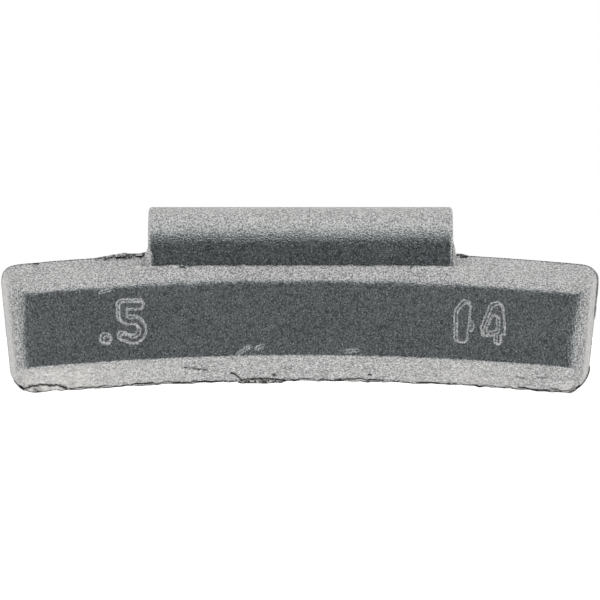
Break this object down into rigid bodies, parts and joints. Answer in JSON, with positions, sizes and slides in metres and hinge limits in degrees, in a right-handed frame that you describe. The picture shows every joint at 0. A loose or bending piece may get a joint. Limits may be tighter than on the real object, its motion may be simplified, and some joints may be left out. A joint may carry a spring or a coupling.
{
  "type": "wheel balance weight",
  "caption": "Arched wheel balance weight: a bevelled zinc casting with a hooked spring-steel clip that grips the edge of a rolled rim flange.",
  "frame": {"origin": "centre of the clip's crown bend, half way along the weight, where the edge of the rim's flange sits", "axes": "+X along the rim, +Y towards the tyre side of the flange, +Z away from the wheel's axis; the marked face looks towards -Y"},
  "size_m": [0.0442, 0.0099, 0.0138],
  "materials": {
    "coated_zinc": "silver-grey metallic paint over cast zinc alloy, fine grain",
    "coated_steel": "silver-grey metallic paint over spring steel, fine grain"
  },
  "bodies": {
    "root": {"cast_body": "coated_zinc", "spring_clip": "coated_steel"}
  },
  "joints": []
}
